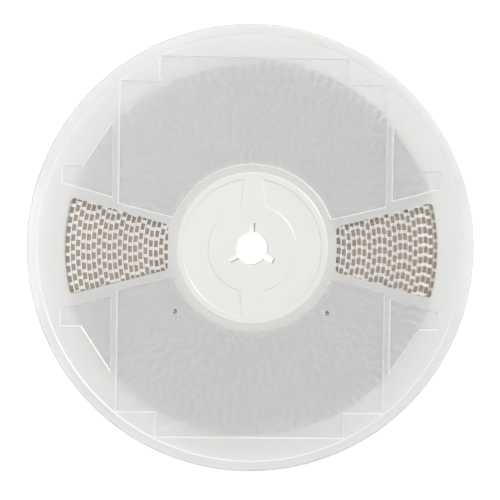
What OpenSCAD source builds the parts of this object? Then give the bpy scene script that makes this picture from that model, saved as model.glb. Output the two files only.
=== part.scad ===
// Seven-inch plastic reel of 8 mm embossed carrier tape, full of chip capacitors.
// The reel lies flat: its axis is Z, and the rear flange's bead and boss stand on Z = 0.
// Millimetres throughout.

/* [Reel] */
// Outside diameter of both flanges
reel_d = 178; // [172:1:184]
// Clear width between the two flanges
reel_gap = 9; // [8.6:0.1:9.9]
// Thickness of a flange's plain plate
plate_t = 1.2; // [1:0.1:1.6]
// Width of the bead round a flange's edge
rim_w = 4.2; // [3:0.2:5]
// How far the bead and the hub boss stand above the plate
rim_h = 0.3; // [0.2:0.05:0.5]
// Radius on the bead's outer corner
rim_fillet = 1; // [0.4:0.1:1.4]

/* [Panels] */
// Depth of the moulded panels in a flange's outer face
panel_depth = 0.35; // [0.1:0.05:0.5]
// Width of the stepped label panel, window to window
label_w = 106.2; // [100:0.2:112]
// Width of the label panel's narrow ends
label_end_w = 75; // [60:1:84]
// Smooth strip left between a panel's corners and the bead
panel_margin = 0.6; // [0.3:0.1:2]
// Plain ring left between the drum and the label panel
panel_land = 3.4; // [2.5:0.1:5]
// Width of the plain rib between the label panel and a side panel
panel_rib = 2.4; // [1.5:0.1:4]
// Angle above the windows' middle line at which a side panel's slope ends
side_panel_angle = 25.2; // [24:0.2:30]
// How far a side panel's foot reaches past the windows' outer edge
side_panel_reach = 1; // [0:0.1:3]

/* [Windows] */
// Angle between a window's two straight sides
window_angle = 30; // [22:1:36]
// Radius of a window's outer edge
window_r = 74.2; // [70:0.2:76]
// Distance of a window's straight inner edge from the axis
window_x = 33.4; // [32.5:0.1:38]
// Radius of the window's corners
window_fillet = 1.8; // [0.8:0.1:3]
// Width of the plain frame beside each side of a window
frame_w = 4.5; // [3:0.1:6]
// Diameter of the two small threading holes
pin_hole_d = 1.8; // [1:0.1:3]
// Distance of the threading holes from the axis
pin_hole_r = 39.5; // [37:0.5:44]
// Angle of each threading hole from straight down
pin_hole_angle = 50; // [40:1:56]

/* [Hub] */
// Outside diameter of the drum that the tape is wound on
hub_d = 60; // [58:0.5:62]
// Wall of the drum
drum_wall = 1.4; // [1:0.1:2]
// Width of the slit in the drum that takes the tape's inner end
slit_w = 1.5; // [1:0.1:3]
// Angle of the slit round the drum, just behind the tape's inner end
slit_angle = 250; // [246:1:262]
// Diameter of the arbor hole
arbor_d = 13; // [12.8:0.1:13.5]
// Width of the three key slots
key_w = 2.1; // [1.5:0.1:2.6]
// Diameter across the key slots' ends
key_d = 20.4; // [20.2:0.1:22]
// Plastic left around the key slots in the hub's sleeve
sleeve_wall = 1.6; // [1:0.1:2.5]
// Diameter of the raised boss round the arbor hole
boss_d = 35; // [30:0.5:40]
// Wall of the hub's inner ring, under the boss
ring_wall = 1.2; // [0.8:0.1:2]
// Thickness of the web that joins the sleeve, the ring and the drum
web_t = 1.2; // [0.8:0.1:2]
// Width of the two raised bars between boss and hub ring, at the boss
bar_w = 9.4; // [6:0.1:12]
// Width of the same bars at the hub ring
bar_end_w = 7.2; // [5:0.1:9]
// Inside diameter of the raised hub ring
hub_ring_d = 55; // [52:0.5:56]
// How far a flange's locating spigot reaches into the drum
spigot_h = 2; // [1:0.1:3]
// Wall of the spigot
spigot_wall = 1.2; // [0.8:0.1:1.6]
// Clearance between spigot and drum
spigot_gap = 0.1; // [0.05:0.05:0.2]

/* [Tape] */
// Width of the carrier tape
tape_w = 8; // [7.9:0.1:8.2]
// Thickness of the carrier tape's flat strip
strip_t = 0.25; // [0.2:0.01:0.3]
// Distance from pocket to pocket along the tape
pocket_pitch = 4; // [4:4:8]
// Inside length of a pocket, along the tape
pocket_l = 2.7; // [2.6:0.05:2.9]
// Inside width of a pocket, across the tape
pocket_w = 3.5; // [3.3:0.05:3.6]
// Depth of a pocket, from the strip's outer face to its floor
pocket_d = 1.75; // [1.65:0.01:1.9]
// Wall and floor of a pocket
pocket_wall = 0.2; // [0.15:0.01:0.25]
// Distance from the tape's sprocket edge to the pockets' middle
pocket_edge = 5.25; // [5.2:0.01:5.3]
// Diameter of the sprocket holes, midway between the pockets
sprocket_d = 1.5; // [1.4:0.05:1.6]
// Distance from the tape's sprocket edge to the holes' middle
sprocket_edge = 1.75; // [1.65:0.01:1.85]
// Outer turns that have their sprocket holes
holed_turns = 1; // [0.5:0.5:2]
// Thickness of the clear cover tape
cover_t = 0.06; // [0.05:0.01:0.08]
// Width of the cover tape
cover_w = 5.4; // [5:0.1:5.5]
// Turns of tape on the reel
turns = 22; // [12:1:22]
// Empty turns at the outer end of the tape, as its leader
leader_turns = 0.5; // [0.5:0.5:4]
// Slack between one turn and the next
wind_slack = 0.05; // [0.02:0.01:0.06]

/* [Chips] */
// Length of a chip, across the tape
chip_l = 3.2; // [3:0.05:3.25]
// Width of a chip, along the tape
chip_w = 2.5; // [2.3:0.05:2.55]
// Height of a chip, out of its pocket's floor
chip_h = 1.35; // [1.2:0.05:1.6]

/* [Hidden] */

$fn = 96;
eps = 0.01;

reel_r = reel_d / 2;
hub_r = hub_d / 2;
drum_r = hub_r - drum_wall;
boss_r = boss_d / 2;
hub_ring_r = hub_ring_d / 2;
arbor_r = arbor_d / 2;
flange_t = plate_t + rim_h;
reel_w = reel_gap + 2 * flange_t;
rim_r = reel_r - rim_w;
panel_r = rim_r - panel_margin;
spigot_r = drum_r - spigot_gap;

// Each turn lies on the one below: pocket, cover tape and slack add up to the pitch of the spiral.
pocket_h = pocket_d + pocket_wall;
turn_pitch = pocket_h + cover_t + wind_slack;
half_turns = 2 * turns;
first_r = hub_r + wind_slack + pocket_h;
// The reel lies flat, so the roll's lower edge has settled on the rear flange.
tape_z = flange_t;
pocket_z = tape_z + pocket_edge;

// Radius of the strip's outer face in half turn h, about that half turn's own centre.
function turn_r(h) = first_r + h * turn_pitch / 2;
// Radius of the strip's middle surface, along which the pocket pitch is measured.
function strip_mid_r(h) = turn_r(h) - strip_t / 2;
// Length of tape wound before half turn h begins: the sum of the half circles inside it.
function wound_length(h) = PI * (h * strip_mid_r(0) + turn_pitch * h * (h - 1) / 4);
// Angle of pocket i from the start of half turn h.
function pocket_turn(h, i) = (i * pocket_pitch - wound_length(h)) / strip_mid_r(h) * 180 / PI;
// Angle to each side of a window's middle within which half turn h shows its pockets.
// The innermost pockets lie on the drum, just under the window's inner edge.
function shown_angle(h) = window_angle / 2 + pocket_l / 2 / turn_r(h) * 180 / PI;
// The pockets of half turn h that a window shows. A half turn's middle faces the window.
function shown_pockets(h) = [
    for (i = [ceil(wound_length(h) / pocket_pitch) : floor(wound_length(h + 1) / pocket_pitch)])
        if (abs(pocket_turn(h, i) - 90) <= shown_angle(h)) i
];

// The sprocket holes of half turn h, each half a pitch behind its pocket. They keep off both ends.
function sprocket_holes(h) = [
    for (i = [ceil(wound_length(h) / pocket_pitch) : floor(wound_length(h + 1) / pocket_pitch)])
        if (abs(pocket_turn(h, i - 0.5) - 90) <= 90 - sprocket_d / turn_r(h) * 180 / PI) i - 0.5
];

// ---- Flanges ----

// The arbor hole with its three key slots.
module arbor_cut(h) {
    translate([0, 0, -eps]) cylinder(r = arbor_r, h = h + 2 * eps);
    for (a = [90, 210, 330])
        rotate([0, 0, a]) translate([0, -key_w / 2, -eps]) cube([key_d / 2, key_w, h + 2 * eps]);
}

// One window: two radial sides, a straight inner edge and an arc outside, all corners rounded.
module window_outline() {
    half = window_angle / 2;
    f = window_fillet;
    // The fillets' centres: f inside a radial side, and f inside the straight edge or the arc.
    inner = [window_x + f, (window_x + f) * tan(half) - f / cos(half)];
    outer_a = half - asin(f / (window_r - f));
    outer = (window_r - f) * [cos(outer_a), sin(outer_a)];
    to_side = f * [-sin(half), cos(half)];
    upper = [[window_x, inner.y], inner, inner + to_side, outer + to_side, outer, 2 * outer];
    // A hair over f, so that each circle crosses the sides that it meets cleanly.
    for (s = [-1, 1]) {
        translate([inner.x, s * inner.y]) circle(r = f + eps);
        translate([outer.x, s * outer.y]) circle(r = f + eps);
    }
    intersection() {
        circle(r = window_r);
        polygon(concat(upper, [for (i = [len(upper) - 1 : -1 : 0]) [upper[i].x, -upper[i].y]]));
    }
}

// The window with its frame: the same wedge, wider by the frame's width on each side.
module framed_wedge() {
    half = window_angle / 2;
    shift = frame_w / sin(half);
    polygon([[-shift, 0], reel_d * [cos(half), -sin(half)], reel_d * [cos(half), sin(half)]]);
}

// Label panel: a broad body with a narrower end at top and bottom, whose corners reach the bead.
module label_panel() {
    wide_y = sqrt(panel_r * panel_r - label_w * label_w / 4);
    end_y = sqrt(panel_r * panel_r - label_end_w * label_end_w / 4);
    difference() {
        union() {
            square([label_w, 2 * wide_y], center = true);
            square([label_end_w, 2 * end_y], center = true);
        }
        circle(r = hub_r + panel_land);
        for (m = [0, 1]) mirror([m, 0]) framed_wedge();
    }
}

// Side panel above the right window. Its slope is a chord of the circle of the windows' outer edge,
// and its foot lies along the window's frame.
module side_panel() {
    x = label_w / 2 + panel_rib;
    knee = window_r * [cos(side_panel_angle), sin(side_panel_angle)];
    far_x = window_r + side_panel_reach;
    polygon([
        [x, frame_y(x)], [x, sqrt(window_r * window_r - x * x)], knee, [far_x, knee.y],
        [far_x, frame_y(far_x)]
    ]);
}

// Height of the frame's outer edge above the X axis at distance x.
function frame_y(x) = x * tan(window_angle / 2) + frame_w / cos(window_angle / 2);

// Raised boss round the arbor hole, two bars and the hub ring over the drum.
module hub_relief() {
    circle(r = boss_r);
    difference() {
        circle(r = hub_r);
        circle(r = hub_ring_r);
    }
    for (m = [0, 1]) mirror([0, m])
        polygon([
            [-bar_w / 2, 0], [-bar_w / 2, boss_r], [-bar_end_w / 2, hub_ring_r + drum_wall],
            [bar_end_w / 2, hub_ring_r + drum_wall], [bar_w / 2, boss_r], [bar_w / 2, 0]
        ]);
}

// Section of the bead, with its outer corner rounded.
module rim_section() {
    translate([rim_r, 0]) square([rim_w - rim_fillet, flange_t]);
    translate([rim_r, 0]) square([rim_w, flange_t - rim_fillet]);
    translate([reel_r - rim_fillet, flange_t - rim_fillet]) circle(r = rim_fillet);
}

// One flange, its inner face on Z = 0 and its outer face up. Both flanges are this one moulding.
module flange() {
    difference() {
        union() {
            cylinder(r = rim_r + eps, h = plate_t);
            rotate_extrude() rim_section();
            linear_extrude(flange_t) hub_relief();
            translate([0, 0, -spigot_h]) difference() {
                cylinder(r = spigot_r, h = spigot_h + eps);
                translate([0, 0, -eps]) cylinder(r = spigot_r - spigot_wall, h = spigot_h + 3 * eps);
            }
        }
        arbor_cut(flange_t);
        for (m = [0, 1]) mirror([m, 0, 0]) {
            translate([0, 0, -eps]) linear_extrude(flange_t) window_outline();
            rotate([0, 0, pin_hole_angle - 90]) translate([pin_hole_r, 0, -eps])
                cylinder(d = pin_hole_d, h = flange_t);
            for (n = [0, 1])
                translate([0, 0, plate_t - panel_depth]) linear_extrude(flange_t)
                    mirror([0, n]) side_panel();
        }
        translate([0, 0, plate_t - panel_depth]) linear_extrude(flange_t) label_panel();
    }
}

module front_flange()
    color([0.93, 0.93, 0.91, 0.6]) translate([0, 0, reel_w - flange_t]) flange();

module rear_flange()
    color([0.9, 0.9, 0.89, 0.6]) translate([0, 0, flange_t]) rotate([0, 180, 0]) flange();

// ---- Hub ----

// A ring of the hub, standing on Z = 0.
module hub_ring(outer_r, wall, h) {
    difference() {
        cylinder(r = outer_r, h = h);
        translate([0, 0, -eps]) cylinder(r = outer_r - wall, h = h + 2 * eps);
    }
}

// The pairs of ribs under the flanges' bars. They stay clear of both spigots.
module hub_ribs() {
    length = drum_r - boss_r + ring_wall / 2;
    rib_h = reel_gap - 2 * spigot_h - 4 * spigot_gap;
    for (m = [0, 1], s = [-1, 1]) mirror([0, m, 0])
        translate([
            s * (bar_w - web_t) / 2 - web_t / 2, boss_r - ring_wall / 2, (reel_gap - rib_h) / 2
        ])
            cube([web_t, length, rib_h]);
}

// Drum, inner ring, keyed sleeve, web and ribs in one moulding, with a slit for the tape's end.
module hub_core() {
    color([0.94, 0.94, 0.92]) translate([0, 0, flange_t]) difference() {
        union() {
            hub_ring(hub_r, drum_wall, reel_gap);
            hub_ring(boss_r, ring_wall, reel_gap);
            cylinder(r = key_d / 2 + sleeve_wall, h = reel_gap);
            translate([0, 0, (reel_gap - web_t) / 2]) cylinder(r = drum_r + eps, h = web_t);
            hub_ribs();
        }
        arbor_cut(reel_gap);
        rotate([0, 0, slit_angle]) translate([drum_r - 1, -slit_w / 2, -eps])
            cube([drum_wall + 2, slit_w, reel_gap + 2 * eps]);
    }
}

// ---- Tape ----

// Places its children in half turn h: X is the tape's direction at the middle of the half turn,
// Y points outwards, and the half turns' centres alternate so that each begins where the last ends.
module in_half_turn(h) {
    left = h % 2;
    translate([0, -left * turn_pitch / 2, 0]) rotate([0, 0, left * 180]) children();
}

// A strip of section [t, w] along half turn h, its outer face at radius r.
module half_ring(h, r, t, w, z) {
    in_half_turn(h) rotate([0, 0, -90]) rotate_extrude(angle = 180)
        translate([r - t, z]) square([t, w]);
}

// Places its children at pocket i of half turn h: X points outwards from the strip's outer face.
module at_pocket(h, i) {
    in_half_turn(h) rotate([0, 0, pocket_turn(h, i) - 90]) translate([turn_r(h), 0, pocket_z]) children();
}

// A box that reaches from depth d up by height h, centred along and across the tape.
module pocket_box(d, h, l, w) {
    translate([-d, -l / 2, -w / 2]) cube([h, l, w]);
}

// Half a turn of the carrier tape, with its embossed pockets where a window shows them.
module tape_half_turn(h) {
    difference() {
        union() {
            half_ring(h, turn_r(h), strip_t, tape_w, tape_z);
            for (i = shown_pockets(h)) at_pocket(h, i)
                pocket_box(
                    pocket_h, pocket_h - strip_t / 2,
                    pocket_l + 2 * pocket_wall, pocket_w + 2 * pocket_wall
                );
        }
        for (i = shown_pockets(h)) at_pocket(h, i)
            pocket_box(pocket_d, pocket_d + strip_t, pocket_l, pocket_w);
        if (h >= half_turns - 2 * holed_turns)
            for (i = sprocket_holes(h)) at_pocket(h, i)
                translate([-2 * strip_t, 0, sprocket_edge - pocket_edge]) rotate([0, 90, 0])
                    cylinder(d = sprocket_d, h = 3 * strip_t, $fn = 32);
    }
}

module carrier_tape()
    color([0.86, 0.84, 0.8, 0.5])
        for (h = [0 : half_turns - 1]) tape_half_turn(h);

// The clear film sealed over the pockets' mouths.
module cover_tape()
    color([0.9, 0.9, 0.9, 0.3])
        for (h = [0 : half_turns - 1])
            half_ring(h, turn_r(h) + cover_t, cover_t, cover_w, pocket_z - cover_w / 2);

// One chip to each pocket that a window shows, apart from the empty leader.
module chip_capacitors()
    color([0.5, 0.46, 0.4])
        for (h = [0 : half_turns - 1 - 2 * leader_turns], i = shown_pockets(h))
            at_pocket(h, i) pocket_box(pocket_d, chip_h, chip_w, chip_l);

front_flange();
rear_flange();
hub_core();
carrier_tape();
cover_tape();
chip_capacitors();
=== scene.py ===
# Seven-inch reel of 8 mm embossed tape: looks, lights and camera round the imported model.
import math
import random

import bmesh
import bpy
from mathutils import Matrix, Vector


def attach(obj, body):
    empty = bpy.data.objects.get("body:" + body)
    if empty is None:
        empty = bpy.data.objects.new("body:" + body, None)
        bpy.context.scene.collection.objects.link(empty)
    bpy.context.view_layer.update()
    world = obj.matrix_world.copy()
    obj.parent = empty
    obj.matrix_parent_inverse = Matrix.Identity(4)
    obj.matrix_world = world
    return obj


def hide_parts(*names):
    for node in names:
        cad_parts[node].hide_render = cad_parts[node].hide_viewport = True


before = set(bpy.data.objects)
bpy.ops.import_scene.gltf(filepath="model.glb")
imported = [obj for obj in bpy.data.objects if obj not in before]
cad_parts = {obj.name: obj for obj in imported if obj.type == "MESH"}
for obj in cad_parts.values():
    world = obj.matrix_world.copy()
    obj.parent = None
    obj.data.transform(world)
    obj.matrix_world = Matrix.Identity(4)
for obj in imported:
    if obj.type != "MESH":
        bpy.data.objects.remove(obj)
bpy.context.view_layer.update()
random.seed(7)

MM = 0.001

# Sizes of the reel and its tape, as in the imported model, in millimetres and turns.
REEL_W = 12.0
FLANGE_T = 1.5
PLATE_T = 1.2
PANEL_DEPTH = 0.35
STRIP_T = 0.25
PITCH = 4.0
POCKET_L = 2.7
POCKET_W = 3.5
POCKET_D = 1.75
POCKET_WALL = 0.2
TAPE_W = 8.0
TAPE_Z = 1.52
POCKET_EDGE = 5.25
COVER_T = 0.06
COVER_W = 5.4
TURNS = 22
LEADER_TURNS = 0.5
SLACK = 0.05
POCKET_H = POCKET_D + POCKET_WALL
TURN_PITCH = POCKET_H + COVER_T + SLACK
FIRST_R = 30.0 + SLACK + POCKET_H
HALF_TURNS = 2 * TURNS
CHIP_L = 3.2
CHIP_W = 2.5
CHIP_H = 1.35
HOLE_EDGE = 1.75
HOLE_R = 0.75

# Outermost turns that have sprocket holes here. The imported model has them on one.
HOLED_TURNS = 3

# Outer end of the ticks, just inside the hub ring, whose inner radius is 27.5 mm.
TICK_END_R = 27.1

# How far a relief wall's foot moves out and its top moves in, and how much a sharp edge is rounded,
# in millimetres.
SLOPE_W = 0.25
EDGE_ROUND = 0.1

# Edges of more than the first angle are rounded. Faces that meet at less than the second are joined.
SHARP_DEGREES = 35
JOIN_DEGREES = 0.5

# A face is flat when its normal's z is over the first, and upright when it isn't over the second.
FLAT_Z = 0.95
UPRIGHT_Z = 0.1

# Slack in millimetres when a face's height is compared, and the finer one for a wall's foot.
HEIGHT_SLACK = 0.05
FOOT_SLACK = 0.01

# Radii, in millimetres, where a flange face's material changes. Within the first no wall is sloped.
ARBOR_ZONE_R = 15
HUB_FACE_R = 28
WINDOW_FROM_R = 33
HUB_ZONE_R = 40
BEAD_FROM_R = 86

# The sector that holds a window on either side: half its angle, and a margin in millimetres.
WINDOW_HALF_DEGREES = 15
WINDOW_MARGIN = 0.4

# Painted light round the hub: the plastic is painted whitest and least clear up to the first radius and
# plain from the second, in millimetres.
HUB_GLOW_FULL_R = 26
HUB_GLOW_END_R = 36
HUB_TRANSMISSION = 0.15


# ---- Mesh helpers ----


class Mesh:
    """Vertices in millimetres and faces with a material index each."""

    def __init__(self):
        self.verts = []
        self.faces = []
        self.mats = []

    def add(self, p):
        """Adds a vertex given in millimetres and returns its index."""
        self.verts.append((p[0] * MM, p[1] * MM, p[2] * MM))
        return len(self.verts) - 1

    def face(self, ids, mat=0):
        """Adds a face with its material's index."""
        self.faces.append(ids)
        self.mats.append(mat)

    def build(self, name, materials):
        """Makes the object and links it to the scene."""
        mesh = bpy.data.meshes.new(name)
        mesh.from_pydata(self.verts, [], self.faces)
        mesh.polygons.foreach_set("material_index", self.mats)
        for m in materials:
            mesh.materials.append(m)
        mesh.update()
        obj = bpy.data.objects.new(name, mesh)
        bpy.context.scene.collection.objects.link(obj)
        return obj


# ---- The tape's path ----


def turn_r(h):
    """Radius of the strip's outer face in half turn h."""
    return FIRST_R + h * TURN_PITCH / 2


def mid_r(h):
    """Radius of the middle of the strip's thickness in half turn h."""
    return turn_r(h) - STRIP_T / 2


def wound(h):
    """Length of tape wound in the first h half turns."""
    return math.pi * (h * mid_r(0) + TURN_PITCH * h * (h - 1) / 4)


def place(s):
    """Centre, radius of the strip's outer face and angle at distance s along the tape."""
    h = 0
    while h < HALF_TURNS - 1 and wound(h + 1) <= s:
        h += 1
    a = (math.pi / 2 if h % 2 else -math.pi / 2) + (s - wound(h)) / mid_r(h)
    return (0.0, -TURN_PITCH / 2 if h % 2 else 0.0), turn_r(h), a


def on_strip(s, depth, w):
    """A point at distance s along the tape, depth inwards from its outer face, w from its lower edge."""
    c, r, a = place(s)
    return (c[0] + (r - depth) * math.cos(a), c[1] + (r - depth) * math.sin(a), TAPE_Z + w)


class Seat:
    """The straight frame of one pocket: x outwards from the strip, y along the tape."""

    def __init__(self, s):
        self.c, self.r, a = place(s)
        self.cos, self.sin = math.cos(a), math.sin(a)

    def at(self, x, y, w):
        """The point x out from the strip's outer face, y along the tape and w above its lower edge."""
        u = self.r + x
        return (
            self.c[0] + u * self.cos - y * self.sin,
            self.c[1] + u * self.sin + y * self.cos,
            TAPE_Z + w,
        )

    def round(self, depth, y, w):
        """A point of the curved strip beside the pocket."""
        r = self.r - depth
        return self.at(math.sqrt(r * r - y * y) - self.r, y, w)


LENGTH = wound(HALF_TURNS)
POCKETS = list(range(1, int((LENGTH - PITCH / 2) / PITCH) + 1))
FILLED_END = wound(HALF_TURNS - int(2 * LEADER_TURNS))
HOLED_FROM = wound(HALF_TURNS - 2 * HOLED_TURNS)


# ---- Carrier tape ----


def carrier():
    """The whole strip with every pocket embossed, and its sprocket holes in the outer turns."""
    m = Mesh()
    low = POCKET_EDGE - POCKET_W / 2
    high = POCKET_EDGE + POCKET_W / 2
    half_in = POCKET_L / 2
    half_out = half_in + POCKET_WALL
    side = {0: (0.0, low, high, TAPE_W), 1: (0.0, low - POCKET_WALL, high + POCKET_WALL, TAPE_W)}
    depth = {0: 0.0, 1: STRIP_T}
    half_y = {0: half_in, 1: half_out}
    # Lines of the mesh below, above and beside a sprocket hole.
    row_low, row_high = HOLE_EDGE - 1.0, HOLE_EDGE + 0.97
    col = 1.15

    def edge(s, hole):
        """One cross-section of the strip, with the ring of a sprocket hole centred on it."""
        out = {}
        for f in (0, 1):
            ws = list(side[f])
            if hole:
                ws += [row_low, HOLE_EDGE - HOLE_R, HOLE_EDGE + HOLE_R, row_high]
            out[f] = {round(w, 3): m.add(on_strip(s, depth[f], w)) for w in ws}
        if hole:
            for f in (0, 1):
                for sign in (-1, 1):
                    ring = []
                    for a in (-45, 0, 45):
                        u = math.cos(math.radians(a)) * HOLE_R * sign
                        w = HOLE_EDGE + math.sin(math.radians(a)) * HOLE_R
                        ring.append(m.add(on_strip(s + u, depth[f], w)))
                    out[(f, sign)] = ring
        return out

    def hole_half(e, f, sign):
        """The half ring of a hole from its lower to its upper point."""
        w0, w1 = round(HOLE_EDGE - HOLE_R, 3), round(HOLE_EDGE + HOLE_R, 3)
        return [e[f][w0]] + e[(f, sign)] + [e[f][w1]]

    def put(ids, f):
        """Adds a face, turned over on the strip's inner side."""
        m.face(ids if f == 0 else ids[::-1])

    start = POCKETS[0] * PITCH - PITCH / 2
    prev_hole = False
    prev = edge(start, False)
    first = prev
    for i in POCKETS:
        s = i * PITCH
        end_hole = s + PITCH / 2 > HOLED_FROM and i != POCKETS[-1]
        nxt = edge(s + PITCH / 2, end_hole)
        holed = prev_hole or end_hole
        seat = Seat(s)
        for f in (0, 1):
            w = side[f]
            rows = {}
            for k, ww in enumerate(w):
                y = col if holed and k == 0 else half_y[f]
                rows[k] = [m.add(seat.round(depth[f], -y, ww)), m.add(seat.round(depth[f], y, ww))]
            a = [prev[f][round(ww, 3)] for ww in w]
            b = [nxt[f][round(ww, 3)] for ww in w]
            if holed:
                lo = [m.add(seat.round(depth[f], y, row_low)) for y in (-col, col)]
                hi = [m.add(seat.round(depth[f], y, row_high)) for y in (-col, col)]
                put([rows[0][0], rows[0][1], lo[1], lo[0]], f)
                put([lo[0], lo[1], hi[1], hi[0]], f)
                put([hi[0], hi[1], rows[1][1], rows[1][0]], f)
                rl, rh = round(row_low, 3), round(row_high, 3)
                if prev_hole:
                    put([a[0], rows[0][0], lo[0], prev[f][rl]], f)
                    put([prev[f][rl], lo[0], hi[0], prev[f][rh]] + hole_half(prev, f, 1)[::-1], f)
                    put([prev[f][rh], hi[0], rows[1][0], a[1]], f)
                else:
                    put([a[0], rows[0][0], lo[0], hi[0], rows[1][0], a[1]], f)
                if end_hole:
                    put([rows[0][1], b[0], nxt[f][rl], lo[1]], f)
                    put([lo[1], nxt[f][rl]] + hole_half(nxt, f, -1) + [nxt[f][rh], hi[1]], f)
                    put([hi[1], nxt[f][rh], b[1], rows[1][1]], f)
                else:
                    put([rows[0][1], b[0], b[1], rows[1][1], hi[1], lo[1]], f)
            else:
                put([a[0], rows[0][0], rows[1][0], a[1]], f)
                put([rows[0][0], rows[0][1], rows[1][1], rows[1][0]], f)
                put([rows[0][1], b[0], b[1], rows[1][1]], f)
            put([a[1], rows[1][0], rows[2][0], a[2]], f)
            put([rows[1][1], b[1], b[2], rows[2][1]], f)
            put([a[2], rows[2][0], rows[3][0], a[3]], f)
            put([rows[2][0], rows[2][1], rows[3][1], rows[3][0]], f)
            put([rows[2][1], b[2], b[3], rows[3][1]], f)
            if f == 0:
                outer, oa, ob = rows, a, b
            else:
                inner, ia, ib = rows, a, b
        # The strip's two edges.
        for k, flip in ((0, False), (3, True)):
            quads = [
                [oa[k], ia[k], inner[k][0], outer[k][0]],
                [outer[k][0], inner[k][0], inner[k][1], outer[k][1]],
                [outer[k][1], inner[k][1], ib[k], ob[k]],
            ]
            for q in quads:
                m.face(q[::-1] if flip else q, 1)
        # The pocket: its inner and outer walls, drawn in a little towards the floor.
        draft = 0.05
        mouth = [outer[1][0], outer[1][1], outer[2][1], outer[2][0]]
        root = [inner[1][0], inner[1][1], inner[2][1], inner[2][0]]
        for ring, x, hy, f in (
            (mouth, -POCKET_D, half_in - draft, 0),
            (root, -POCKET_H, half_out - draft, 1),
        ):
            lo_w, hi_w = side[f][1] + draft, side[f][2] - draft
            floor = [
                m.add(seat.at(x, -hy, lo_w)), m.add(seat.at(x, hy, lo_w)),
                m.add(seat.at(x, hy, hi_w)), m.add(seat.at(x, -hy, hi_w)),
            ]
            for k in range(4):
                n = (k + 1) % 4
                q = [ring[k], ring[n], floor[n], floor[k]]
                m.face(q if f == 0 else q[::-1])
            m.face(floor if f == 0 else floor[::-1])
        # The walls of the sprocket hole at the cell's end.
        if end_hole:
            for sign in (-1, 1):
                rim_out, rim_in = hole_half(nxt, 0, sign), hole_half(nxt, 1, sign)
                for k in range(4):
                    q = [rim_out[k], rim_out[k + 1], rim_in[k + 1], rim_in[k]]
                    m.face(q if sign < 0 else q[::-1])
        prev, prev_hole = nxt, end_hole
    for e, flip in ((first, False), (prev, True)):
        o = [e[0][round(w, 3)] for w in side[0]]
        n = [e[1][round(w, 3)] for w in side[1]]
        loop = o + n[::-1]
        m.face(loop if not flip else loop[::-1])
    return m


# ---- Cover film ----


def cover():
    """The film over the pockets, a hair clear of the strip that it is sealed to."""
    m = Mesh()
    lift = 0.008
    low = POCKET_EDGE - COVER_W / 2
    high = POCKET_EDGE + COVER_W / 2
    section = ((-lift, low), (-COVER_T, low), (-COVER_T, high), (-lift, high))
    rings = []
    for i in POCKETS:
        seat = Seat(i * PITCH)
        if not rings:
            s = i * PITCH - PITCH / 2
            rings.append([m.add(on_strip(s, d, w)) for d, w in section])
        for y in (-POCKET_L / 2, POCKET_L / 2):
            rings.append([m.add(seat.round(d, y, w)) for d, w in section])
        s = i * PITCH + PITCH / 2
        rings.append([m.add(on_strip(s, d, w)) for d, w in section])
    for a, b in zip(rings, rings[1:]):
        for k in range(4):
            n = (k + 1) % 4
            m.face([a[k], a[n], b[n], b[k]][::-1])
    m.face(rings[0])
    m.face(rings[-1][::-1])
    return m


# ---- Chips ----


def chips():
    """One chip to a pocket: ceramic body, and a tinned cap wrapped round each end."""
    m = Mesh()
    cap = 0.5
    step = 0.03
    soft = 0.08
    for i in POCKETS:
        s = i * PITCH
        if s > FILLED_END:
            break
        seat = Seat(s)
        side = random.uniform(-0.06, 0.06)
        drop = random.uniform(-0.12, -0.02)
        lift = random.uniform(0.0, 0.04)
        half_w, half_l = CHIP_W / 2, CHIP_L / 2
        # Distance from the end, inset of the outline, material.
        rings = [
            (0.0, soft, 1), (soft, 0.0, 1), (cap, 0.0, 1), (cap, step, 0),
            (CHIP_L - cap, step, 0), (CHIP_L - cap, 0.0, 1), (CHIP_L - soft, 0.0, 1), (CHIP_L, soft, 1),
        ]
        made = []
        for z, inset, _ in rings:
            y, x = half_w - inset, CHIP_H / 2 - inset
            w = POCKET_EDGE - half_l + z + drop
            mid = -POCKET_D + CHIP_H / 2 + lift
            made.append([
                m.add(seat.at(mid + x, side - y, w)), m.add(seat.at(mid + x, side + y, w)),
                m.add(seat.at(mid - x, side + y, w)), m.add(seat.at(mid - x, side - y, w)),
            ])
        for r in range(len(rings) - 1):
            mat = 0 if rings[r][2] == 0 and rings[r + 1][2] == 0 else 1
            for k in range(4):
                n = (k + 1) % 4
                m.face([made[r][k], made[r][n], made[r + 1][n], made[r + 1][k]], mat)
        m.face(made[0][::-1], 1)
        m.face(made[-1], 1)
    return m


# ---- Ticks inside the hub ring ----


def ticks(front):
    """Short raised marks inside the hub ring, plain and unnumbered."""
    m = Mesh()
    z0 = REEL_W - FLANGE_T + PLATE_T if front else FLANGE_T - PLATE_T
    up = 1 if front else -1
    height, half = 0.14, 0.22
    sunk, taper, narrowing = 0.02, 0.1, 0.6
    step = 2.75
    # Each tick's angle in degrees, and the radius of its inner end.
    spans = [(14 + step * k, 24.8 if k % 4 else 24.0) for k in range(23)]
    spans += [(-22 - step * k, 25.2) for k in range(16)]
    for deg, r0 in spans:
        a = math.radians(deg)
        ux, uy = math.cos(a), math.sin(a)
        if not front:
            ux = -ux
        px, py = -uy, ux
        top, bottom = [], []
        for u, v in ((r0, -half), (TICK_END_R, -half), (TICK_END_R, half), (r0, half)):
            bottom.append(m.add((u * ux + v * px, u * uy + v * py, z0 - up * sunk)))
            uu = u + (taper if u == r0 else -taper)
            vv = v * narrowing
            top.append(m.add((uu * ux + vv * px, uu * uy + vv * py, z0 + up * height)))
        flip = not front
        for k in range(4):
            n = (k + 1) % 4
            q = [bottom[k], bottom[n], top[n], top[k]]
            m.face(q[::-1] if flip else q)
        m.face(top[::-1] if flip else top)
        m.face(bottom if flip else bottom[::-1])
    return m


# ---- Materials ----


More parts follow.
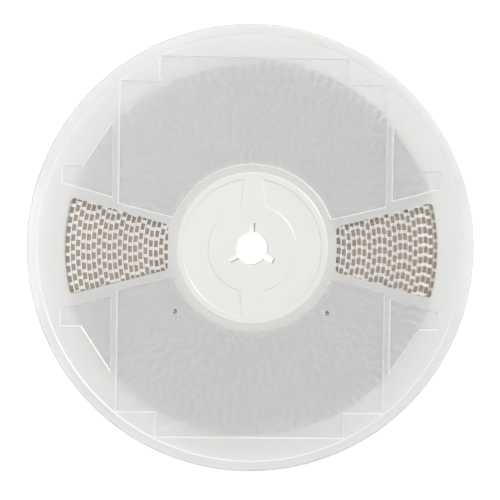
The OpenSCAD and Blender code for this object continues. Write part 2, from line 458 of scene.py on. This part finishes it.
def material(name):
    """A new material with one Principled shader: the material, its node tree and the shader."""
    mat = bpy.data.materials.new(name)
    mat.use_nodes = True
    nt = mat.node_tree
    nt.nodes.clear()
    out = nt.nodes.new("ShaderNodeOutputMaterial")
    bsdf = nt.nodes.new("ShaderNodeBsdfPrincipled")
    nt.links.new(bsdf.outputs[0], out.inputs[0])
    return mat, nt, bsdf


def node(nt, kind, **values):
    """A node with the named inputs or settings given."""
    n = nt.nodes.new(kind)
    for k, v in values.items():
        if k in n.inputs:
            n.inputs[k].default_value = v
        else:
            setattr(n, k, v)
    return n


def noise(nt, coords, scale, detail=3.0, rough=0.5):
    """The value of a noise texture."""
    n = node(nt, "ShaderNodeTexNoise", Scale=scale, Detail=detail, Roughness=rough)
    nt.links.new(coords, n.inputs["Vector"])
    return n.outputs["Fac"]


def spread(nt, value, low, high, from_low=0.3, from_high=0.7):
    """Maps a value's range to low and high. The default range is where noise mostly lies."""
    n = node(nt, "ShaderNodeMapRange")
    n.inputs["From Min"].default_value = from_low
    n.inputs["From Max"].default_value = from_high
    n.inputs["To Min"].default_value = low
    n.inputs["To Max"].default_value = high
    nt.links.new(value, n.inputs["Value"])
    return n.outputs["Result"]


def blend_colour(nt, value, a, b):
    """Colour a where the value is 0, and colour b where it is 1."""
    n = node(nt, "ShaderNodeMix", data_type="RGBA")
    n.inputs[6].default_value = (*a, 1)
    n.inputs[7].default_value = (*b, 1)
    nt.links.new(value, n.inputs[0])
    return n.outputs[2]


def bump(nt, bsdf, height, strength, distance):
    """Fine surface relief from a height."""
    n = node(nt, "ShaderNodeBump", Strength=strength, Distance=distance)
    nt.links.new(height, n.inputs["Height"])
    nt.links.new(n.outputs[0], bsdf.inputs["Normal"])


def object_coords(nt):
    """Coordinates that stay with the piece."""
    return node(nt, "ShaderNodeTexCoord").outputs["Object"]


def painted_hub_glow(nt, coords):
    """Painted light: 1 close to the hub, where the moulding is thick and the plastic is painted whiter as
    a glow, falling to 0 further out.
    """
    flat = node(nt, "ShaderNodeVectorMath", operation="MULTIPLY")
    flat.inputs[1].default_value = (1, 1, 0)
    nt.links.new(coords, flat.inputs[0])
    length = node(nt, "ShaderNodeVectorMath", operation="LENGTH")
    nt.links.new(flat.outputs[0], length.inputs[0])
    return spread(nt, length.outputs["Value"], 1, 0, HUB_GLOW_FULL_R * MM, HUB_GLOW_END_R * MM)


def translucent_plastic(name, light, dark, transmission, rough_low, rough_high, alpha, grain_bump=0.12):
    """Natural polystyrene: milky, satin, with faint flow clouds and a fine moulded grain, and painted
    whiter and less clear towards the hub as painted light.
    """
    mat, nt, bsdf = material(name)
    co = object_coords(nt)
    cloud = noise(nt, co, 28.0, 4.0)
    fine = noise(nt, co, 420.0, 3.0)
    grain = noise(nt, co, 2600.0, 2.0)
    # Painted light: towards the hub the colour turns to the hub's pale tone and the plastic grows less
    # clear, a painted glow.
    hub = painted_hub_glow(nt, co)
    tone = blend_colour(nt, spread(nt, cloud, 0, 1), dark, light)
    white = blend_colour(nt, hub, light, HUB_LIGHT)
    nt.links.new(tone, white.node.inputs[6])
    nt.links.new(white, bsdf.inputs["Base Color"])
    clear = spread(nt, hub, transmission, HUB_TRANSMISSION, 0, 1)
    nt.links.new(clear, bsdf.inputs["Transmission Weight"])
    nt.links.new(spread(nt, fine, rough_low, rough_high), bsdf.inputs["Roughness"])
    bump(nt, bsdf, grain, grain_bump, 0.0002)
    bsdf.inputs["IOR"].default_value = 1.5
    bsdf.inputs["Alpha"].default_value = alpha
    return mat


# The flange's materials, in the order of its faces' zones: thin plastic shows more of what is below.
PLATE, PANEL, RIM, HUB, SLOPE, INNER = range(6)
# HUB_LIGHT is also the colour that the painted glow round the hub turns the plastic to.
HUB_LIGHT, HUB_SHADE = (0.97, 0.965, 0.93), (0.955, 0.95, 0.915)
THIN, THIN_SHADE = (0.955, 0.963, 0.975), (0.94, 0.948, 0.957)
PLAIN, PLAIN_SHADE = (0.965, 0.968, 0.963), (0.95, 0.953, 0.946)
RIM_LIGHT, RIM_SHADE = (0.9, 0.9, 0.885), (0.88, 0.88, 0.865)
flange_mats = [
    translucent_plastic("polystyrene_plate", PLAIN, PLAIN_SHADE, 0.45, 0.34, 0.4, 0.86, 0.05),
    translucent_plastic("polystyrene_panel", THIN, THIN_SHADE, 0.5, 0.2, 0.24, 0.7, 0.03),
    translucent_plastic("polystyrene_bead", RIM_LIGHT, RIM_SHADE, 0.42, 0.4, 0.5, 0.92),
    translucent_plastic("polystyrene_boss", HUB_LIGHT, HUB_SHADE, 0.2, 0.4, 0.5, 0.95),
    translucent_plastic("polystyrene_slope", PLAIN, PLAIN_SHADE, 0.2, 0.3, 0.4, 0.97),
    translucent_plastic("polystyrene_inner", PLAIN, PLAIN_SHADE, 0.45, 0.3, 0.36, 0.87, 0.03),
]
hub_mat = translucent_plastic("hub_polystyrene", HUB_LIGHT, HUB_SHADE, 0.1, 0.42, 0.52, 1.0)


def clear_plastic(name, light, dark, alpha_low, alpha_high, rough, streak):
    """Clear thermoformed tape: glossy, a little hazy where it was drawn."""
    mat, nt, bsdf = material(name)
    co = object_coords(nt)
    haze = noise(nt, co, 300.0, 3.0)
    wave = noise(nt, co, streak, 2.0)
    nt.links.new(blend_colour(nt, spread(nt, haze, 0, 1), dark, light), bsdf.inputs["Base Color"])
    nt.links.new(spread(nt, haze, alpha_low, alpha_high), bsdf.inputs["Alpha"])
    nt.links.new(spread(nt, wave, rough, rough + 0.12), bsdf.inputs["Roughness"])
    bump(nt, bsdf, wave, 0.15, 0.0002)
    bsdf.inputs["IOR"].default_value = 1.5
    return mat


tape_mat = clear_plastic("clear_carrier", (0.98, 0.9, 0.79), (0.94, 0.86, 0.75), 0.09, 0.14, 0.18, 700.0)
slit_mat = clear_plastic("slit_tape_edge", (0.98, 0.92, 0.84), (0.94, 0.88, 0.8), 0.75, 0.9, 0.3, 900.0)
film_mat = clear_plastic("clear_cover_film", (0.95, 0.94, 0.92), (0.9, 0.89, 0.87), 0.03, 0.07, 0.1, 500.0)


def ceramic():
    """Brown fired ceramic, the chips' bodies."""
    mat, nt, bsdf = material("fired_ceramic")
    co = object_coords(nt)
    speck = noise(nt, co, 6000.0, 3.0)
    tone = noise(nt, co, 260.0, 2.0)
    a = blend_colour(nt, spread(nt, tone, 0, 1), (0.3, 0.2, 0.13), (0.37, 0.26, 0.17))
    nt.links.new(a, bsdf.inputs["Base Color"])
    nt.links.new(spread(nt, speck, 0.5, 0.68), bsdf.inputs["Roughness"])
    bump(nt, bsdf, speck, 0.2, 0.00004)
    return mat


def tin():
    """Dull tin plating, the chips' ends."""
    mat, nt, bsdf = material("matt_tin")
    co = object_coords(nt)
    speck = noise(nt, co, 5200.0, 4.0)
    tone = noise(nt, co, 240.0, 2.0)
    a = blend_colour(nt, spread(nt, tone, 0, 1), (0.27, 0.228, 0.18), (0.36, 0.31, 0.25))
    nt.links.new(a, bsdf.inputs["Base Color"])
    nt.links.new(spread(nt, speck, 0.42, 0.6), bsdf.inputs["Roughness"])
    bump(nt, bsdf, speck, 0.25, 0.00004)
    bsdf.inputs["Metallic"].default_value = 0.35
    return mat


# ---- Pieces ----


def above_inner_face(z, front):
    """Height in millimetres above a flange's inner face."""
    return z / MM - (REEL_W - FLANGE_T) if front else FLANGE_T - z / MM


def is_relief_wall(f, front):
    """True for the low upright walls of the panels, the bead's inner side, the hub ring and the boss."""
    if abs(f.normal.z) > UPRIGHT_Z:
        return False
    heights = [above_inner_face(v.co.z, front) for v in f.verts]
    raised = min(heights) > PLATE_T - PANEL_DEPTH - FOOT_SLACK
    return raised and math.hypot(*f.verts[0].co.xy) > ARBOR_ZONE_R * MM


def slope_relief(bm, front):
    """Draws the relief's low upright walls out into slopes, as a moulding's are."""
    walls = {}
    for f in bm.faces:
        if not is_relief_wall(f, front):
            continue
        heights = [above_inner_face(v.co.z, front) for v in f.verts]
        middle = (min(heights) + max(heights)) / 2
        for v in f.verts:
            foot = above_inner_face(v.co.z, front) < middle
            walls.setdefault(v, (foot, []))[1].append(f.normal.copy())
    for v, (foot, normals) in walls.items():
        one = normals[0]
        other = min(normals, key=one.dot)
        # At a corner of two walls this moves each of them by SLOPE_W.
        shift = (one + other) * SLOPE_W * MM * (1 if foot else -1) / (1 + one.dot(other))
        v.co.xy += shift.xy


def flange_zone(f, front):
    """Which of the flange's materials a face takes, by how thick the plastic is and how it slopes."""
    middle = f.calc_center_median()
    height = above_inner_face(middle.z, front)
    r = math.hypot(middle.x, middle.y) / MM
    window_y = abs(middle.x) * math.tan(math.radians(WINDOW_HALF_DEGREES)) + WINDOW_MARGIN * MM
    in_window = abs(middle.y) < window_y and r > WINDOW_FROM_R
    flat = abs(f.normal.z) > FLAT_Z
    if flat and height < HEIGHT_SLACK:
        return INNER
    if height < PLATE_T - PANEL_DEPTH - HEIGHT_SLACK or in_window:
        return PLATE
    if flat and height < PLATE_T - PANEL_DEPTH / 2:
        return PANEL
    if flat and height < PLATE_T + 2 * HEIGHT_SLACK and r > HUB_FACE_R:
        return PLATE
    if r > BEAD_FROM_R or r < ARBOR_ZONE_R or flat:
        return RIM if r > HUB_ZONE_R else HUB
    return SLOPE


def softened(node_name, name, mats, squeeze=1.0):
    """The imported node's own mesh with its relief sloped and its sharp edges rounded."""
    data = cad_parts[node_name].data.copy()
    data.materials.clear()
    bm = bmesh.new()
    bm.from_mesh(data)
    bmesh.ops.remove_doubles(bm, verts=bm.verts, dist=1e-6)
    bmesh.ops.dissolve_limit(
        bm, angle_limit=math.radians(JOIN_DEGREES), verts=bm.verts, edges=bm.edges,
    )
    front = node_name == "front_flange"
    flange = len(mats) > 1
    bm.normal_update()
    sharp = [
        e for e in bm.edges
        if len(e.link_faces) == 2 and e.calc_face_angle() > math.radians(SHARP_DEGREES)
        and not (flange and any(is_relief_wall(f, front) for f in e.link_faces))
    ]
    bmesh.ops.bevel(
        bm, geom=sharp, offset=EDGE_ROUND * MM, offset_type="OFFSET", segments=2, profile=0.5,
        affect="EDGES", clamp_overlap=True,
    )
    bmesh.ops.triangulate(bm, faces=bm.faces)
    bm.normal_update()
    if flange:
        slope_relief(bm, front)
        bm.normal_update()
    middle = REEL_W / 2 * MM
    for v in bm.verts:
        v.co.z = middle + (v.co.z - middle) * squeeze
    for f in bm.faces:
        f.material_index = flange_zone(f, front) if flange else 0
        f.smooth = False
    bm.to_mesh(data)
    bm.free()
    for mat in mats:
        data.materials.append(mat)
    obj = bpy.data.objects.new(name, data)
    bpy.context.scene.collection.objects.link(obj)
    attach(obj, "root")
    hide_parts(node_name)
    return obj


softened("front_flange", "front_moulding", flange_mats)
softened("rear_flange", "rear_moulding", flange_mats)
# A hair short of the flanges, so that light passes between the faces that meet.
softened("hub_core", "hub_moulding", [hub_mat], squeeze=0.99)

tape = carrier().build("embossed_tape", [tape_mat, slit_mat])
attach(tape, "root")
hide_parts("carrier_tape")

film = cover().build("cover_film", [film_mat])
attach(film, "root")
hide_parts("cover_tape")

capacitors = chips().build("ceramic_chips", [ceramic(), tin()])
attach(capacitors, "root")
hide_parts("chip_capacitors")

for front in (True, False):
    marks = ticks(front).build("front_scale_marks" if front else "rear_scale_marks", [flange_mats[HUB]])
    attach(marks, "root")


# ---- Floor, light and camera ----

# How strongly the floor glows where it is seen past the reel and through it.
GLOW_PAST, GLOW_THROUGH = 0.6, 0.75
# How strongly the world lights the object. To the camera it is plain white.
WORLD_LIGHT = 0.42
# Half the floor's side, in millimetres, and the squares along it.
FLOOR_HALF = 2500
FLOOR_SQUARES = 8
# The camera's distance and the width that it shows there, in metres, its roll in degrees and its
# sensor in millimetres.
DISTANCE = 0.55
VIEW_W = 0.1981
ROLL = 0.9
SENSOR_W = 36.0


def pale_floor():
    """A pale floor that glows only where it is seen: straight, in gloss or through the plastic."""
    mat, nt, bsdf = material("pale_floor")
    co = object_coords(nt)
    grain = noise(nt, co, 60.0, 3.0)
    nt.links.new(
        blend_colour(nt, spread(nt, grain, 0, 1), (0.9, 0.9, 0.9), (0.92, 0.92, 0.92)),
        bsdf.inputs["Base Color"],
    )
    bsdf.inputs["Roughness"].default_value = 0.7
    bsdf.inputs["Specular IOR Level"].default_value = 0.2
    path = node(nt, "ShaderNodeLightPath")
    straight_or_gloss = node(nt, "ShaderNodeMath", operation="MAXIMUM")
    seen = node(nt, "ShaderNodeMath", operation="MAXIMUM")
    gain = node(nt, "ShaderNodeMath", operation="MULTIPLY")
    nt.links.new(path.outputs["Is Camera Ray"], straight_or_gloss.inputs[0])
    nt.links.new(path.outputs["Is Glossy Ray"], straight_or_gloss.inputs[1])
    nt.links.new(straight_or_gloss.outputs[0], seen.inputs[0])
    nt.links.new(path.outputs["Is Transmission Ray"], seen.inputs[1])
    nt.links.new(seen.outputs[0], gain.inputs[0])
    # Seen past the reel the floor glows less than seen through it, so that the reel's shadow shows.
    glow = spread(nt, path.outputs["Transparent Depth"], GLOW_PAST, GLOW_THROUGH, 0, 1)
    nt.links.new(glow, gain.inputs[1])
    bsdf.inputs["Emission Color"].default_value = (1, 1, 1, 1)
    nt.links.new(gain.outputs[0], bsdf.inputs["Emission Strength"])
    return mat


floor_mesh = Mesh()
lines = [FLOOR_HALF * (2 * i / FLOOR_SQUARES - 1) for i in range(FLOOR_SQUARES + 1)]
grid = [[floor_mesh.add((x, y, 0)) for x in lines] for y in lines]
for j in range(FLOOR_SQUARES):
    for i in range(FLOOR_SQUARES):
        floor_mesh.face([grid[j][i], grid[j][i + 1], grid[j + 1][i + 1], grid[j + 1][i]])
floor = floor_mesh.build("floor", [pale_floor()])

world = bpy.data.worlds.new("studio")
bpy.context.scene.world = world
world.use_nodes = True
wt = world.node_tree
wt.nodes.clear()
w_out = wt.nodes.new("ShaderNodeOutputWorld")
w_bg = wt.nodes.new("ShaderNodeBackground")
w_path = wt.nodes.new("ShaderNodeLightPath")
w_mix = node(wt, "ShaderNodeMapRange")
w_mix.inputs["To Min"].default_value = WORLD_LIGHT
w_mix.inputs["To Max"].default_value = 1.0
wt.links.new(w_path.outputs["Is Camera Ray"], w_mix.inputs["Value"])
wt.links.new(w_mix.outputs["Result"], w_bg.inputs["Strength"])
w_bg.inputs["Color"].default_value = (1, 1, 1, 1)
wt.links.new(w_bg.outputs[0], w_out.inputs[0])


def area(name, place_at, target, size, watts):
    """A square lamp that faces its target."""
    light = bpy.data.lights.new(name, "AREA")
    light.size = size
    light.energy = watts
    obj = bpy.data.objects.new(name, light)
    obj.location = place_at
    obj.rotation_euler = (Vector(target) - Vector(place_at)).to_track_quat("-Z", "Y").to_euler()
    bpy.context.scene.collection.objects.link(obj)


area("top", (-0.42, 0.28, 1.1), (0, 0, 0), 0.5, 4.8)
area("key", (2.0, 1.3, 1.2), (0, 0, 0), 0.9, 34.0)
area("fill", (-0.8, -0.5, 0.8), (0, 0, 0), 0.9, 2.2)

cam_data = bpy.data.cameras.new("camera")
cam = bpy.data.objects.new("camera", cam_data)
bpy.context.scene.collection.objects.link(cam)
bpy.context.scene.camera = cam
cam_data.sensor_width = SENSOR_W
cam_data.lens = SENSOR_W * DISTANCE / VIEW_W
target = Vector((-0.0009, -0.0006, 0.012))
back = Vector((-0.054, 0.028, 1.0)).normalized()
upright = Vector((0, 1, 0)).cross(back).normalized()
right = Matrix.Rotation(math.radians(ROLL), 3, back) @ upright
cam.location = target + DISTANCE * back
cam.rotation_euler = Matrix((right, back.cross(right), back)).transposed().to_euler()
cam_data.clip_start = 0.01
cam_data.clip_end = 20.0

bpy.context.scene.view_settings.view_transform = "Standard"
cycles = bpy.context.scene.cycles
cycles.max_bounces = 24
cycles.diffuse_bounces = 10
cycles.glossy_bounces = 8
cycles.transmission_bounces = 16
cycles.transparent_max_bounces = 32
bpy.context.view_layer.update()
